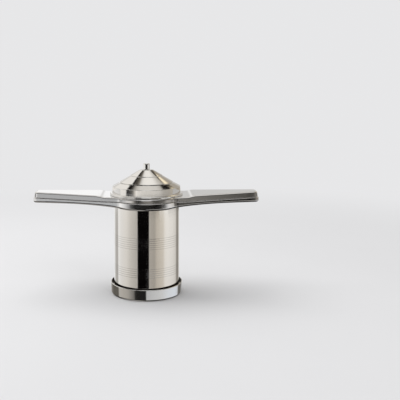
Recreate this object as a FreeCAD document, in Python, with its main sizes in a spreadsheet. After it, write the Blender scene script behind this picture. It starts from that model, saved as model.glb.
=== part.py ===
"""Push press for sevai noodles: a steel barrel and a plunger, each with its own two-armed handle.

The barrel stands on the screwed cap ring that holds the jali, the perforated disc. Pushing the plunger's
handle down to the barrel's handle forces the dough out through the jali. The origin is on the table,
on the barrel's axis; +Z is up and the arms lie along X. Lengths are in millimetres.
"""

import FreeCAD, Part
import math
import os
from types import SimpleNamespace

import Sketcher

SIZES = {
    # cap ring: a spun ring with an inward lip, screwed over the barrel's collar
    "thread_clearance": 0.5,
    "cap_height": 11.1,
    "cap_sheet": 1.0,
    "cap_lip": 1.2,
    "cap_lip_width": 5.9,
    "cap_foot_bend": 1.5,
    # jali: the perforated disc that lies on the cap's lip
    "jali_overhang": 1.0,
    "jali_thickness": 1.6,
    "jali_edge_chamfer": 0.4,
    "hole_radius": 1.0,
    "hole_pitch": 5.0,
    # barrel: a straight tube with two bands of turned grooves and a threaded collar at its foot
    "barrel_radius": 32.4,
    "barrel_wall": 1.2,
    "barrel_length": 91.2,
    "barrel_edge_chamfer": 0.3,
    "groove_width": 0.9,
    "groove_depth": 0.25,
    "groove_pitch": 2.05,
    "upper_band_height": 46.5,
    "upper_band_grooves": 6,
    "lower_band_height": 19.2,
    "lower_band_grooves": 5,
    "collar_wall": 1.55,
    "collar_height": 5.0,
    "collar_rise": 0.4,
    "collar_chamfer": 0.5,
    # handles: two pressed steel boats, the barrel's a little larger all round than the plunger's
    "arm_half_length": 110.1,
    "arm_end_half_width": 9.5,
    "arm_taper_angle": 10.8,
    "arm_corner_radius": 5.0,
    "hub_width": 4.6,
    "hub_blend_radius": 12.0,
    "level_beyond_hub": 0.4,
    "arm_slope_angle": 1.75,
    "arm_bend_run": 8.0,
    "arm_step_radius": 25.0,
    "arm_step_angle": 14.0,
    "handle_sheet": 1.0,
    "handle_depth": 4.0,
    "barrel_handle_margin": 1.0,
    "barrel_hub_depth": 6.6,
    "belly_rise": 4.1,
    "belly_inside_hub": 23.0,
    "belly_turn_run": 10.0,
    "belly_beyond_hub": 43.0,
    "top_edge_round": 1.5,
    "belly_edge_round": 2.0,
    "handle_gap": 0.3,
    # plunger: a tube closed by a disc, hung from its handle by a flange
    "plunger_clearance": 0.3,
    "plunger_wall": 1.0,
    "plunger_rest_gap": 1.2,
    "plunger_flange_width": 4.3,
    "plunger_flange": 1.0,
    "base_thickness": 1.5,
    "base_spigot": 3.0,
    "spigot_wall": 1.2,
    "base_chamfer": 0.5,
    # dome: a spun cover in three stepped tiers, rolled over the plunger's flange
    "dome_sheet": 0.8,
    "bead_wall": 0.95,
    "bead_height": 2.2,
    "bead_round": 0.9,
    "bead_width": 2.7,
    "skirt_height": 8.35,
    "skirt_round": 0.8,
    "tier_step": 0.4,
    "tier_step_rise": 0.6,
    "middle_tier_radius": 26.2,
    "upper_tier_radius": 15.8,
    "lower_tier_angle": 28.0,
    "upper_tier_angle": 30.0,
    "crown_radius": 6.6,
    # knob and its screw
    "knob_radius": 3.2,
    "knob_height": 6.3,
    "knob_chamfer": 0.4,
    "screw_radius": 2.0,
    "screw_grip": 4.4,
    "screw_head_radius": 3.6,
    "screw_head_height": 2.2,
    "screw_slot_width": 1.0,
    "screw_slot_depth": 1.0,
    "washer_radius": 5.2,
    "washer_thickness": 0.8,
    # fits between pieces that are welded, pressed or screwed together
    "weld_gap": 0.05,
}

JALI_RINGS = 4  # rings of holes round the middle one, each with six holes more than the last


class Size:
    """A size from the sheet, or what follows from such sizes: its value now and its expression."""

    def __init__(self, value, text=None):
        self.value = float(value)
        self.text = text or repr(float(value))

    def __add__(self, other):
        other = as_size(other)
        return Size(self.value + other.value, f"({self.text} + {other.text})")

    def __sub__(self, other):
        other = as_size(other)
        return Size(self.value - other.value, f"({self.text} - {other.text})")

    def __rsub__(self, other):
        return as_size(other) - self

    def __radd__(self, other):
        return as_size(other) + self

    def __mul__(self, other):
        other = as_size(other)
        return Size(self.value * other.value, f"({self.text} * {other.text})")

    def __truediv__(self, other):
        other = as_size(other)
        return Size(self.value / other.value, f"({self.text} / {other.text})")

    def __neg__(self):
        return Size(-self.value, f"(0 - {self.text})")


def as_size(number):
    return number if isinstance(number, Size) else Size(number)


def tan_of(angle):
    return Size(math.tan(math.radians(angle.value)), f"tan({angle.text} * 1 deg)")


def cos_of(angle):
    return Size(math.cos(math.radians(angle.value)), f"cos({angle.text} * 1 deg)")


def sin_of(angle):
    return Size(math.sin(math.radians(angle.value)), f"sin({angle.text} * 1 deg)")


def make_sheet(doc):
    sheet = doc.addObject("Spreadsheet::Sheet", "Sizes")
    for row, (name, value) in enumerate(SIZES.items(), start=1):
        sheet.set(f"A{row}", name)
        sheet.set(f"B{row}", str(value))
        sheet.setAlias(f"B{row}", name)
    doc.recompute()
    return SimpleNamespace(**{name: Size(sheet.get(name), f"Sizes.{name}") for name in SIZES})


def add_radii(s):
    """The radii that follow from the barrel's: of what is fitted round it, and of what slides in it."""
    s.jali_radius = s.barrel_radius + s.jali_overhang
    s.collar_radius = s.barrel_radius + s.weld_gap + s.collar_wall
    s.cap_radius = s.collar_radius + s.thread_clearance + s.cap_sheet
    s.cap_mouth_radius = s.jali_radius - s.cap_lip_width
    s.hub_radius = s.barrel_radius + s.hub_width
    s.plunger_radius = s.barrel_radius - s.barrel_wall - s.plunger_clearance
    s.plunger_flange_radius = s.plunger_radius + s.plunger_flange_width
    s.bead_radius = s.plunger_flange_radius + s.weld_gap + s.bead_wall
    s.skirt_radius = s.bead_radius - s.bead_width


# ---------------------------------------------------------------- sketches and features


def origin_part(body, role):
    return next(part for part in body.Origin.OriginFeatures if part.Role == role)


def new_sketch(body, plane, name):
    sketch = body.newObject("Sketcher::SketchObject", name)
    sketch.AttachmentSupport = [(origin_part(body, plane), "")]
    sketch.MapMode = "FlatFace"
    return sketch


def bind(sketch, constraint, size):
    """Adds a constraint whose last value is a size, and ties it to the sheet."""
    index = sketch.addConstraint(Sketcher.Constraint(*constraint, size.value))
    sketch.setExpression(f"Constraints[{index}]", size.text)


def place_point(sketch, geo, pos, point):
    """Ties one end of an edge to its place: on an axis where a coordinate is 0, else by its distance."""
    for kind, axis, size in (("DistanceX", -2, point[0]), ("DistanceY", -1, point[1])):
        size = as_size(size)
        if size.text == repr(0.0):
            sketch.addConstraint(Sketcher.Constraint("PointOnObject", geo, pos, axis))
        else:
            bind(sketch, (kind, -1, 1, geo, pos), size)


def arc_between(start, end, radius, turn):
    """The arc from start to end whose centre lies to the left of the way (turn 1) or the right (turn -1)."""
    chord = end - start
    half = chord.Length / 2
    reach = math.sqrt(max(radius**2 - half**2, 0))
    left = FreeCAD.Vector(-chord.y, chord.x, 0) / chord.Length
    centre = (start + end) / 2 + left * (turn * reach)
    first, last = (start, end) if turn > 0 else (end, start)
    angles = [math.atan2(p.y - centre.y, p.x - centre.x) for p in (first, last)]
    if angles[1] < angles[0]:
        angles[1] += 2 * math.pi
    circle = Part.Circle(centre, FreeCAD.Vector(0, 0, 1), radius)
    return Part.ArcOfCircle(circle, *angles)


def closed_profile(sketch, path):
    """Draws a closed path. Each entry is (x, y), or (x, y, radius, turn) where an arc leaves that point."""
    spots = [FreeCAD.Vector(as_size(p[0]).value, as_size(p[1]).value, 0) for p in path]
    first = sketch.GeometryCount
    heads, tails = [], []
    for i, entry in enumerate(path):
        start, end = spots[i], spots[(i + 1) % len(path)]
        if len(entry) == 2:
            geo = sketch.addGeometry(Part.LineSegment(start, end), False)
            turn = 1
        else:
            turn = entry[3]
            geo = sketch.addGeometry(arc_between(start, end, entry[2].value, turn), False)
        heads.append((geo, 1 if turn > 0 else 2))
        tails.append((geo, 2 if turn > 0 else 1))
    for i in range(len(path)):
        joint = (*tails[i - 1], *heads[i])
        sketch.addConstraint(Sketcher.Constraint("Coincident", *joint))
    for i, entry in enumerate(path):
        place_point(sketch, *heads[i], entry)
        if len(entry) > 2:
            bind(sketch, ("Radius", first + i), entry[2])


def circle_sketch(body, plane, name, radius, centre_x=None):
    sketch = new_sketch(body, plane, name)
    middle = FreeCAD.Vector(centre_x.value if centre_x else 0, 0, 0)
    geo = sketch.addGeometry(Part.Circle(middle, FreeCAD.Vector(0, 0, 1), radius.value), False)
    if centre_x:
        place_point(sketch, geo, 3, (centre_x, 0))
    else:
        sketch.addConstraint(Sketcher.Constraint("Coincident", geo, 3, -1, 1))
    bind(sketch, ("Radius", geo), radius)
    return sketch


def feature(body, kind, name, **settings):
    """Adds a feature and sets its properties; a Size among them is tied to the sheet."""
    made = body.newObject(f"PartDesign::{kind}", name)
    for prop, value in settings.items():
        if isinstance(value, Size):
            made.setExpression(prop, value.text)
        else:
            setattr(made, prop, value)
    body.Tip = made
    body.Document.recompute()
    return made


def new_body(doc, label, height):
    """A body whose own z = 0 stands at the given height on the barrel's axis."""
    body = doc.addObject("PartDesign::Body", label)
    body.Label = label
    body.setExpression(".Placement.Base.z", as_size(height).text)
    return body


def revolved(doc, label, height, path):
    """A round piece: a profile of (radius, height) points turned about the barrel's axis."""
    body = new_body(doc, label, height)
    sketch = new_sketch(body, "XZ_Plane", label + "_profile")
    closed_profile(sketch, path)
    axis = (sketch, ["V_Axis"])
    feature(body, "Revolution", label + "_turned", Profile=sketch, ReferenceAxis=axis, Angle=360)
    return body


def near(a, b):
    return abs(a - b) < 1e-4


def circle_edges(body, radius, height):
    """Names of the circular edges of one radius at one height of the body's own frame."""
    names = []
    for number, edge in enumerate(body.Tip.Shape.Edges, start=1):
        curve = edge.Curve
        if isinstance(curve, Part.Circle) and near(curve.Radius, radius.value):
            if near(curve.Center.z, as_size(height).value):
                names.append(f"Edge{number}")
    if not names:
        raise ValueError(f"{body.Label}: no round edge of radius {radius.value} at {as_size(height).value}")
    return names


def soften(body, kind, size, *edges):
    """Rounds (Fillet) or bevels (Chamfer) the round edges given as (radius, height)."""
    names = [name for radius, height in edges for name in circle_edges(body, radius, height)]
    prop = {"Fillet": "Radius", "Chamfer": "Size"}[kind]
    label = f"{body.Label}_{kind.lower()}"
    feature(body, kind, label, Base=(body.Tip, names), **{prop: size})


# ---------------------------------------------------------------- foot: cap ring and jali


def make_cap_ring(doc, s):
    bore = s.cap_radius - s.cap_sheet
    path = [
        (s.cap_mouth_radius, 0),
        (s.cap_radius, 0),
        (s.cap_radius, s.cap_height),
        (bore, s.cap_height),
        (bore, s.cap_lip),
        (s.cap_mouth_radius, s.cap_lip),
    ]
    body = revolved(doc, "cap_ring", 0, path)
    soften(body, "Fillet", s.cap_foot_bend, (s.cap_radius, 0))
    return body


def make_jali_plate(doc, s):
    body = new_body(doc, "jali_plate", s.cap_lip)
    disc = circle_sketch(body, "XY_Plane", "jali_disc", s.jali_radius)
    feature(body, "Pad", "jali_blank", Profile=disc, Length=s.jali_thickness)
    soften(body, "Chamfer", s.jali_edge_chamfer, (s.jali_radius, 0), (s.jali_radius, s.jali_thickness))
    axis = (origin_part(body, "Z_Axis"), [""])
    middle = circle_sketch(body, "XY_Plane", "middle_hole", s.hole_radius)
    feature(body, "Pocket", "middle_punch", Profile=middle, Type="ThroughAll", Reversed=True)
    for ring in range(1, JALI_RINGS + 1):
        hole = circle_sketch(body, "XY_Plane", f"ring{ring}_hole", s.hole_radius, s.hole_pitch * ring)
        punch = feature(body, "Pocket", f"ring{ring}_punch", Profile=hole, Type="ThroughAll", Reversed=True)
        name = f"ring{ring}_holes"
        feature(body, "PolarPattern", name, Originals=[punch], Axis=axis, Angle=360, Occurrences=6 * ring)
    return body


# ---------------------------------------------------------------- barrel


def cut_groove_band(body, s, name, height, count):
    """A band of V grooves turned into the barrel's outside, the lowest at the given height."""
    tip = (s.barrel_radius - s.groove_depth, height)
    proud = s.barrel_radius + s.groove_depth
    sketch = new_sketch(body, "XZ_Plane", name + "_tool")
    closed_profile(sketch, [tip, (proud, height - s.groove_width), (proud, height + s.groove_width)])
    turning_axis = (sketch, ["V_Axis"])
    groove = feature(body, "Groove", name + "_cut", Profile=sketch, ReferenceAxis=turning_axis, Angle=360)
    upward = (origin_part(body, "Z_Axis"), [""])
    span = s.groove_pitch * (count - 1)
    copies = int(count.value)
    lines = {"Direction": upward, "Length": span, "Occurrences": copies}
    feature(body, "LinearPattern", name, Originals=[groove], **lines)


def make_barrel_tube(doc, s, foot):
    bore = s.barrel_radius - s.barrel_wall
    path = [(bore, 0), (s.barrel_radius, 0), (s.barrel_radius, s.barrel_length), (bore, s.barrel_length)]
    body = revolved(doc, "barrel_tube", foot, path)
    soften(body, "Chamfer", s.barrel_edge_chamfer, (s.barrel_radius, 0), (bore, s.barrel_length))
    cut_groove_band(body, s, "upper_grooves", s.upper_band_height, s.upper_band_grooves)
    cut_groove_band(body, s, "lower_grooves", s.lower_band_height, s.lower_band_grooves)
    return body


def make_thread_collar(doc, s, foot):
    bore = s.barrel_radius + s.weld_gap
    path = [(bore, 0), (s.collar_radius, 0), (s.collar_radius, s.collar_height), (bore, s.collar_height)]
    body = revolved(doc, "barrel_thread_collar", foot + s.collar_rise, path)
    soften(body, "Chamfer", s.collar_chamfer, (s.collar_radius, 0), (s.collar_radius, s.collar_height))
    return body


# ---------------------------------------------------------------- handles


def handle_outline(s, inset):
    """The plan of a handle, with every side moved in by the inset."""
    slope = tan_of(s.arm_taper_angle)
    half_length = s.arm_half_length - inset
    end = s.arm_end_half_width - inset / cos_of(s.arm_taper_angle) + inset * slope
    return SimpleNamespace(
        half_length=half_length,
        end=end,
        middle=end + half_length * slope,
        hub=s.hub_radius - inset,
        corner=s.arm_corner_radius - inset,
        blend=s.hub_blend_radius + inset,
    )


def upright_edges(body, plan, at_ends):
    """Names of the straight upright edges at the arms' ends, or where the arms meet the hub."""
    names = []
    for number, edge in enumerate(body.Tip.Shape.Edges, start=1):
        first, last = (v.Point for v in (edge.Vertexes[0], edge.Vertexes[-1]))
        upright = near(first.x, last.x) and near(first.y, last.y) and not near(first.z, last.z)
        if upright and near(abs(first.x), plan.half_length.value) == at_ends:
            if isinstance(edge.Curve, Part.Line) and abs(first.y) > plan.end.value / 2:
                names.append(f"Edge{number}")
    return names


def handle_blank(body, s, inset, low, high):
    """The handle's plan as a block from low to high: tapered arms and a round hub, blended together."""
    plan = handle_outline(s, inset)
    arms = new_sketch(body, "XY_Plane", body.Label + "_arms")
    long, end, middle = plan.half_length, plan.end, plan.middle
    path = [(-long, -end), (0, -middle), (long, -end), (long, end), (0, middle), (-long, end)]
    closed_profile(arms, path)
    hub = circle_sketch(body, "XY_Plane", body.Label + "_hub", plan.hub)
    for name, sketch in (("arms_block", arms), ("hub_block", hub)):
        sketch.setExpression(".AttachmentOffset.Base.z", low.text)
        feature(body, "Pad", f"{body.Label}_{name}", Profile=sketch, Length=high - low)
    blends = upright_edges(body, plan, False)
    feature(body, "Fillet", body.Label + "_hub_blend", Base=(body.Tip, blends), Radius=plan.blend)
    corners = upright_edges(body, plan, True)
    feature(body, "Fillet", body.Label + "_corners", Base=(body.Tip, corners), Radius=plan.corner)


def rise_radius(run, rise):
    """Radius of the arc that leaves the level and climbs by rise over run."""
    return (run * run + rise * rise) / (rise * 2)


def trim_side(body, name, path):
    """Cuts the closed side profile, drawn for +X, through the blank on both sides of the hub."""
    sketch = new_sketch(body, "XZ_Plane", f"{body.Label}_{name}")
    closed_profile(sketch, path)
    pocket = feature(
        body, "Pocket", f"{body.Label}_{name}_cut", Profile=sketch, Type="ThroughAll", SideType="Symmetric"
    )
    mirror = (origin_part(body, "YZ_Plane"), [""])
    feature(body, "Mirrored", f"{body.Label}_{name}_both", Originals=[pocket], MirrorPlane=mirror)


def arm_course(s):
    """How the arms run, seen from the side: level up to start, bent to their slope by straight, then straight
    to reach. lift and climb are how far they have risen by the last two."""
    slope = s.arm_slope_angle
    start = s.hub_radius + s.level_beyond_hub
    reach = s.arm_half_length + s.barrel_handle_margin
    lift = s.arm_bend_run * tan_of(slope / 2)
    climb = lift + (reach - start - s.arm_bend_run) * tan_of(slope)
    return SimpleNamespace(
        start=start,
        straight=start + s.arm_bend_run,
        reach=reach,
        bend=s.arm_bend_run / sin_of(slope),
        lift=lift,
        climb=climb,
    )


def trim_above(body, s, level, ceiling):
    """Leaves the hub level and lets the arms climb straight towards their ends."""
    arm = arm_course(s)
    path = [
        (0, level),
        (arm.start, level, arm.bend, 1),
        (arm.straight, level + arm.lift),
        (arm.reach, level + arm.climb),
        (arm.reach, ceiling),
        (0, ceiling),
    ]
    trim_side(body, "above", path)


def trim_below(body, s, level, floor):
    """The same course on the underside, parallel to the top."""
    arm = arm_course(s)
    path = [
        (0, floor),
        (arm.reach, floor),
        (arm.reach, level + arm.climb),
        (arm.straight, level + arm.lift, arm.bend, -1),
        (arm.start, level),
        (0, level),
    ]
    trim_side(body, "below", path)


def cover_step(s):
    """The step from the hub's seat up to an arm: an arc up to the step's angle and one back to the arm's
    slope, with the run and the rise at the end of each."""
    slope = s.arm_slope_angle
    steep = s.arm_step_angle
    radius = s.arm_step_radius
    first_run = radius * sin_of(steep)
    first_rise = radius * (1 - cos_of(steep))
    run = first_run * 2 - radius * sin_of(slope)
    rise = radius * (1 + cos_of(slope) - cos_of(steep) * 2)
    return SimpleNamespace(radius=radius, first_run=first_run, first_rise=first_rise, run=run, rise=rise)


def cover_climb(s):
    """How far the cover's top has risen at the arms' reach."""
    arm = arm_course(s)
    step = cover_step(s)
    return step.rise + (arm.reach - arm.start - step.run) * tan_of(s.arm_slope_angle)


def trim_cover(body, s, ceiling):
    """The plunger handle's top: the hub is a level seat for the dome, and the arms step up beside it before
    they climb."""
    arm = arm_course(s)
    step = cover_step(s)
    path = [
        (0, 0),
        (arm.start, 0, step.radius, 1),
        (arm.start + step.first_run, step.first_rise, step.radius, -1),
        (arm.start + step.run, step.rise),
        (arm.reach, cover_climb(s)),
        (arm.reach, ceiling),
        (0, ceiling),
    ]
    trim_side(body, "cover", path)


def trim_belly(body, s, floor):
    """The barrel handle's underside: deep at the hub, turned up in a short arc and led out in a long one to
    the slim, level arms."""
    reach = arm_course(s).reach
    deep = -s.barrel_hub_depth
    shallow = deep + s.belly_rise
    hub_end = s.hub_radius - s.belly_inside_hub
    arm_start = s.hub_radius + s.belly_beyond_hub
    run = arm_start - hub_end
    turn_rise = s.belly_rise * s.belly_turn_run / run
    turn = rise_radius(s.belly_turn_run, turn_rise)
    sweep = rise_radius(run - s.belly_turn_run, s.belly_rise - turn_rise)
    path = [
        (0, floor),
        (reach, floor),
        (reach, shallow),
        (arm_start, shallow, sweep, 1),
        (hub_end + s.belly_turn_run, deep + turn_rise, turn, -1),
        (hub_end, deep),
        (0, deep),
    ]
    trim_side(body, "belly", path)


def face_normal(face):
    u0, u1, v0, v1 = face.ParameterRange
    return face.normalAt((u0 + u1) / 2, (v0 + v1) / 2)


def broad_faces(body, s, way):
    """Numbers of the level or gently bowed faces that look up (way 1) or down (way -1); the walls' narrow
    edges are left out."""
    return [
        number
        for number, face in enumerate(body.Tip.Shape.Faces, start=1)
        if face_normal(face).z * way > 0.9 and face.Area / face.Length > 1.5 * s.handle_sheet.value
    ]


def skin_edges(body, s, way):
    """Names of the edges between the broad faces that look one way and the upright walls."""
    shape = body.Tip.Shape
    broad = [shape.Faces[number - 1] for number in broad_faces(body, s, way)]
    names = []
    for number, edge in enumerate(shape.Edges, start=1):
        faces = shape.ancestorsOfType(edge, Part.Face)
        meets_wall = any(abs(face_normal(face).z) < 0.3 for face in faces)
        if meets_wall and any(face.isSame(other) for face in faces for other in broad):
            names.append(f"Edge{number}")
    return names


def hollow(body, s, open_way):
    """Hollows the block to the sheet's thickness from its open side, up (1) or down (-1)."""
    faces = [f"Face{number}" for number in broad_faces(body, s, open_way)]
    name = body.Label + "_hollowed"
    feature(body, "Thickness", name, Base=(body.Tip, faces), Value=s.handle_sheet, Reversed=True, Join="Arc")


def round_skin(body, s, closed_way, radius):
    """Rounds the closed side's long outer edge, where the pressed sheet bends into the walls."""
    edges = skin_edges(body, s, closed_way)
    feature(body, "Fillet", body.Label + "_bend", Base=(body.Tip, edges), Radius=radius)


def bore_hub(body, radius):
    hole = circle_sketch(body, "XY_Plane", body.Label + "_bore", radius)
    feature(body, "Pocket", body.Label + "_bored", Profile=hole, Type="ThroughAll", SideType="Symmetric")


def make_plunger_handle_shell(doc, s, top):
    """The plunger handle's pressed cover: level hub, climbing arms, walls turned down all round."""
    body = new_body(doc, "plunger_handle_shell", top)
    ceiling = cover_climb(s) * 2
    floor = -s.handle_depth - ceiling
    handle_blank(body, s, Size(0), floor, ceiling)
    trim_cover(body, s, ceiling)
    trim_below(body, s, -s.handle_depth, floor)
    hollow(body, s, -1)
    round_skin(body, s, 1, s.top_edge_round)
    bore_hub(body, s.plunger_radius + s.weld_gap)
    return body


def make_plunger_handle_plate(doc, s, top):
    """The flat plate that closes the cover from below and lands on the barrel's rim."""
    body = new_body(doc, "plunger_handle_plate", top - s.handle_depth)
    climb = arm_course(s).climb
    ceiling = s.handle_sheet + climb * 2
    floor = -climb
    handle_blank(body, s, s.handle_sheet + s.weld_gap, floor, ceiling)
    trim_above(body, s, s.handle_sheet, ceiling)
    trim_below(body, s, Size(0), floor)
    bore_hub(body, s.plunger_radius + s.weld_gap)
    return body


def make_barrel_handle_tray(doc, s, top):
    """The barrel handle's pressed tray: deep round hub, slim climbing arms, soft lower edge."""
    body = new_body(doc, "barrel_handle_tray", top)
    climb = arm_course(s).climb
    ceiling = climb * 2
    floor = -s.barrel_hub_depth - climb
    handle_blank(body, s, -s.barrel_handle_margin, floor, ceiling)
    trim_above(body, s, Size(0), ceiling)
    trim_belly(body, s, floor)
    hollow(body, s, 1)
    round_skin(body, s, -1, s.belly_edge_round)
    bore_hub(body, s.barrel_radius + s.weld_gap)
    return body


def make_barrel_handle_lid(doc, s, top):
    """The plate let into the top of the tray."""
    body = new_body(doc, "barrel_handle_lid", top - s.handle_sheet)
    climb = arm_course(s).climb
    ceiling = s.handle_sheet + climb * 2
    floor = -climb
    inset = s.handle_sheet + s.weld_gap - s.barrel_handle_margin
    handle_blank(body, s, inset, floor, ceiling)
    trim_above(body, s, s.handle_sheet, ceiling)
    trim_below(body, s, Size(0), floor)
    bore_hub(body, s.barrel_radius + s.weld_gap)
    return body


# ---------------------------------------------------------------- plunger


def make_plunger_tube(doc, s, foot, handle_top):
    outer = s.plunger_radius
    bore = outer - s.plunger_wall
    seat = handle_top - foot
    path = [
        (bore, 0),
        (outer, 0),
        (outer, seat),
        (s.plunger_flange_radius, seat),
        (s.plunger_flange_radius, seat + s.plunger_flange),
        (bore, seat + s.plunger_flange),
    ]
    return revolved(doc, "plunger_tube", foot, path)


def make_plunger_base(doc, s, foot):
    outer = s.plunger_radius
    spigot = outer - s.plunger_wall - s.weld_gap
    lip = s.base_thickness + s.base_spigot
    path = [
        (0, 0),
        (outer, 0),
        (outer, s.base_thickness),
        (spigot, s.base_thickness),
        (spigot, lip),
        (spigot - s.spigot_wall, lip),
        (spigot - s.spigot_wall, s.base_thickness),
        (0, s.base_thickness),
    ]
    body = revolved(doc, "plunger_base", foot, path)
    soften(body, "Chamfer", s.base_chamfer, (outer, 0))
    return body


def dome_profile(s):
    """Radius and height of the dome's outer corners from the skirt's top to the crown: each tier climbs
    inwards at its slope and ends in a small step."""
    middle_foot = s.middle_tier_radius + s.tier_step
    upper_foot = s.upper_tier_radius + s.tier_step
    lower_end = s.skirt_height + (s.skirt_radius - middle_foot) * tan_of(s.lower_tier_angle)
    middle_start = lower_end + s.tier_step_rise
    middle_end = middle_start + (s.middle_tier_radius - upper_foot) * tan_of(s.upper_tier_angle)
    upper_start = middle_end + s.tier_step_rise
    crown = upper_start + (s.upper_tier_radius - s.crown_radius) * tan_of(s.upper_tier_angle)
    return [
        (s.skirt_radius, s.skirt_height),
        (middle_foot, lower_end),
        (s.middle_tier_radius, middle_start),
        (upper_foot, middle_end),
        (s.upper_tier_radius, upper_start),
        (s.crown_radius, crown),
    ]


def make_dome(doc, s, seat):
    outside = dome_profile(s)
    crown = outside[-1][1]
    drop = s.dome_sheet / cos_of(s.upper_tier_angle)
    inside = [(radius, height - drop) for radius, height in outside[1:-1]]
    hole = s.screw_radius + s.weld_gap
    hem = s.plunger_flange_radius + s.weld_gap
    cavity = s.skirt_radius - s.dome_sheet
    shelf = s.plunger_flange + s.weld_gap
    path = [
        (hem, 0),
        (s.bead_radius, 0),
        (s.bead_radius, s.bead_height),
        (s.skirt_radius, s.bead_height),
        *outside,
        (hole, crown),
        (hole, crown - s.dome_sheet),
        (s.crown_radius, crown - s.dome_sheet),
        *reversed(inside),
        (cavity, s.skirt_height - drop),
        (cavity, shelf),
        (hem, shelf),
    ]
    body = revolved(doc, "dome", seat, path)
    soften(body, "Fillet", s.bead_round, (s.bead_radius, s.bead_height))
    soften(body, "Fillet", s.skirt_round, (s.skirt_radius, s.skirt_height))
    return body


def make_knob(doc, s, seat):
    socket = s.screw_radius + s.weld_gap
    depth = s.screw_grip + s.weld_gap
    path = [
        (socket, 0),
        (s.knob_radius, 0),
        (s.knob_radius, s.knob_height),
        (0, s.knob_height),
        (0, depth),
        (socket, depth),
    ]
    body = revolved(doc, "knob", seat, path)
    soften(body, "Chamfer", s.knob_chamfer, (s.knob_radius, s.knob_height))
    return body


def make_screw_washer(doc, s, seat):
    hole = s.screw_radius + s.weld_gap
    rim = s.washer_radius
    path = [(hole, 0), (rim, 0), (rim, s.washer_thickness), (hole, s.washer_thickness)]
    return revolved(doc, "screw_washer", seat, path)


def make_knob_screw(doc, s, seat, dome_top):
    """Pan screw from inside the dome; its own z = 0 is the top of its head."""
    tip = dome_top + s.screw_grip - seat
    path = [
        (0, -s.screw_head_height),
        (s.screw_head_radius, -s.screw_head_height),
        (s.screw_head_radius, 0),
        (s.screw_radius, 0),
        (s.screw_radius, tip),
        (0, tip),
    ]
    body = revolved(doc, "knob_screw", seat, path)
    slot = new_sketch(body, "XZ_Plane", "screw_slot")
    half = s.screw_slot_width / 2
    low = -s.screw_head_height
    edge = low + s.screw_slot_depth
    closed_profile(slot, [(-half, low), (half, low), (half, edge), (-half, edge)])
    feature(body, "Pocket", "screw_slot_cut", Profile=slot, Type="ThroughAll", SideType="Symmetric")
    return body


# ---------------------------------------------------------------- assembly


def build(doc):
    s = make_sheet(doc)
    add_radii(s)
    jali_top = s.cap_lip + s.jali_thickness
    barrel_top = jali_top + s.barrel_length
    barrel_handle_top = barrel_top - s.handle_gap
    plunger_handle_top = barrel_top + s.handle_depth
    plunger_foot = jali_top + s.plunger_rest_gap
    dome_top = plunger_handle_top + dome_profile(s)[-1][1]
    washer_seat = dome_top - s.dome_sheet - s.washer_thickness
    return [
        make_cap_ring(doc, s),
        make_jali_plate(doc, s),
        make_barrel_tube(doc, s, jali_top),
        make_thread_collar(doc, s, jali_top),
        make_barrel_handle_tray(doc, s, barrel_handle_top),
        make_barrel_handle_lid(doc, s, barrel_handle_top),
        make_plunger_handle_shell(doc, s, plunger_handle_top),
        make_plunger_handle_plate(doc, s, plunger_handle_top),
        make_plunger_tube(doc, s, plunger_foot + s.base_thickness, plunger_handle_top),
        make_plunger_base(doc, s, plunger_foot),
        make_dome(doc, s, plunger_handle_top),
        make_knob(doc, s, dome_top),
        make_screw_washer(doc, s, washer_seat),
        make_knob_screw(doc, s, washer_seat, dome_top),
    ]


def check(doc, parts):
    faults = [f"{item.Label}: {item.State}" for item in doc.Objects if {"Invalid", "Error"} & set(item.State)]
    for part in parts:
        if part.Shape.isNull() or not part.Shape.isValid() or len(part.Shape.Solids) != 1:
            faults.append(f"{part.Label}: not one valid solid")
    if faults:
        raise RuntimeError("\n".join(faults))


def main():
    doc = FreeCAD.newDocument("sevai_press")
    parts = build(doc)
    doc.recompute()
    check(doc, parts)
    os.makedirs("parts", exist_ok=True)
    for part in parts:
        part.Shape.exportStep(f"parts/{part.Label}.step")
        box = part.Shape.BoundBox
        print(f"{part.Label:24} {part.Shape.Volume / 1000:8.3f} cm3  z {box.ZMin:7.2f} to {box.ZMax:7.2f}")


main()
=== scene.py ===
import math

import bpy
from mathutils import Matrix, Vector


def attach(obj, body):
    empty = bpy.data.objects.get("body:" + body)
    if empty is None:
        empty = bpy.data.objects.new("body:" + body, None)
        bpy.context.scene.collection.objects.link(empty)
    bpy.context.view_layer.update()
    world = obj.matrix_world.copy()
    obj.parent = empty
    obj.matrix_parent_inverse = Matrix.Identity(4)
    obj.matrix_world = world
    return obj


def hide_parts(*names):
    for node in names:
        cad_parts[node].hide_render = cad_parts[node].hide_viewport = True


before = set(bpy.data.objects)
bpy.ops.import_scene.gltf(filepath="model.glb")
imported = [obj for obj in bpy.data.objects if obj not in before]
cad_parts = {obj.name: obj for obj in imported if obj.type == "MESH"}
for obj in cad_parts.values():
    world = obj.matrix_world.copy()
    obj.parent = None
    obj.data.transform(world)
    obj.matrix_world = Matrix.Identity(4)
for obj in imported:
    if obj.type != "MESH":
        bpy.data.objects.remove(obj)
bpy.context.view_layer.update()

# ---------------------------------------------------------------- table and studio
# The press stands on a pale table. What its steel mirrors is no real room or set of panels: it is set by
# direction in fitted tables. They are stripes round the room at
# each height, side walls and a ceiling. Only glossy rays see them; the camera sees the pale backdrop.

TABLE_COLOUR = (0.68, 0.68, 0.69, 1)
BACKDROP_COLOUR = (0.80, 0.80, 0.81, 1)
FLAG_BLACK = (0.0025, 0.002, 0.002)


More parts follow.
